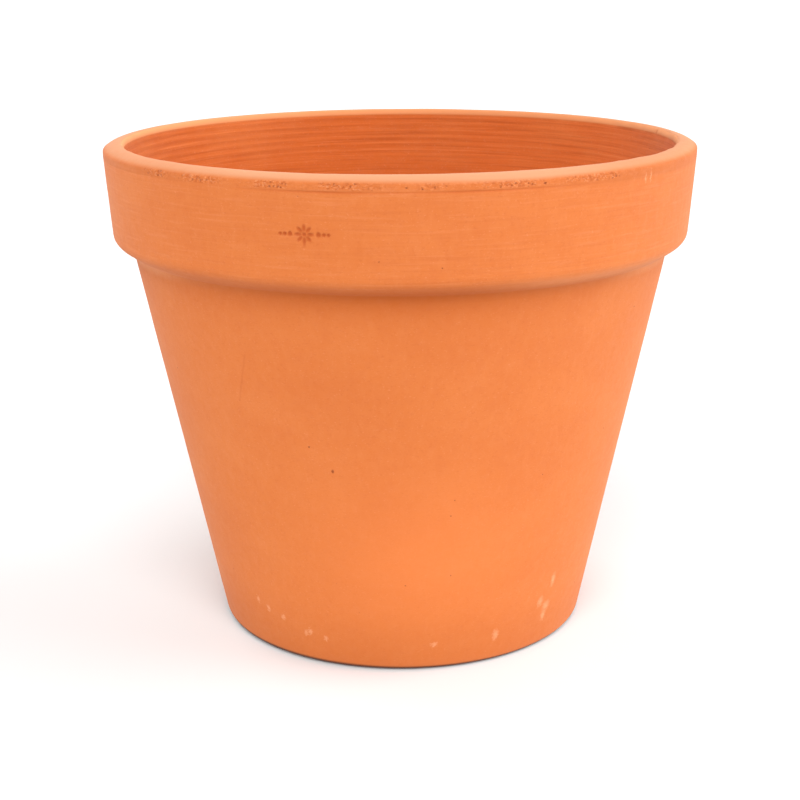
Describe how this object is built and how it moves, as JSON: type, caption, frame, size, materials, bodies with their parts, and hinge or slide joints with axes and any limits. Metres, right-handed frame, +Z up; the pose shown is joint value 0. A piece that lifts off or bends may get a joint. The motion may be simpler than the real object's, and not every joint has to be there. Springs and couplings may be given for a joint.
{
  "type": "terracotta flower pot",
  "caption": "Tapered round clay flower pot with a deep stepped collar, a rounded lip and a central drain hole, for potting large plants.",
  "frame": {"origin": "centre of the underside, on the surface that the pot stands on", "axes": "+Z up along the pot's axis of revolution, -Y towards the front, where the small pressed maker's stamp lies a little to the left"},
  "size_m": [0.4599, 0.46, 0.388],
  "materials": {
    "terracotta": "matte"
  },
  "bodies": {
    "root": {"pot": "terracotta"}
  },
  "joints": []
}
